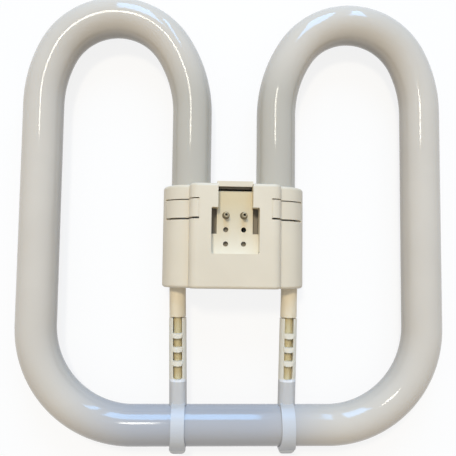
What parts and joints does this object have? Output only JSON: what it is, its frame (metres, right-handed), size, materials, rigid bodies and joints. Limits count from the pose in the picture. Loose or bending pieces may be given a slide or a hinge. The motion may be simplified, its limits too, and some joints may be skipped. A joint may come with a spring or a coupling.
{
  "type": "square compact fluorescent lamp",
  "caption": "Flat square-bent compact fluorescent lamp with a keyed pin cap and clips that tie the cap to the tube.",
  "frame": {"origin": "middle of the footprint, on the surface that the lamp lies on with its socket side up", "axes": "+X to the right with the socket side facing the viewer, +Y towards the tube's two arches, +Z out of the socket"},
  "size_m": [0.1974, 0.2118, 0.0322],
  "materials": {
    "phosphor_glass": "clear gloss over an even white coating",
    "cap_plastic": "satin moulded cream",
    "rod_plastic": "satin moulded cream",
    "clip_plastic": "satin moulded white",
    "pin_metal": "dull nickel plate",
    "starter_can": "satin",
    "capacitor_case": "gloss",
    "wire": "satin insulation"
  },
  "bodies": {
    "root": {"discharge_tube": "phosphor_glass", "front_cover": "cap_plastic", "rear_cover": "cap_plastic", "contact_pin_left": "pin_metal", "contact_pin_right": "pin_metal", "support_rod_left": "rod_plastic", "support_rod_right": "rod_plastic", "tube_clip_left": "clip_plastic", "tube_clip_right": "clip_plastic", "glow_starter": "starter_can", "starter_capacitor": "capacitor_case", "pin_lead_left": "wire", "pin_lead_right": "wire", "starter_lead_left": "wire", "starter_lead_right": "wire"}
  },
  "joints": []
}
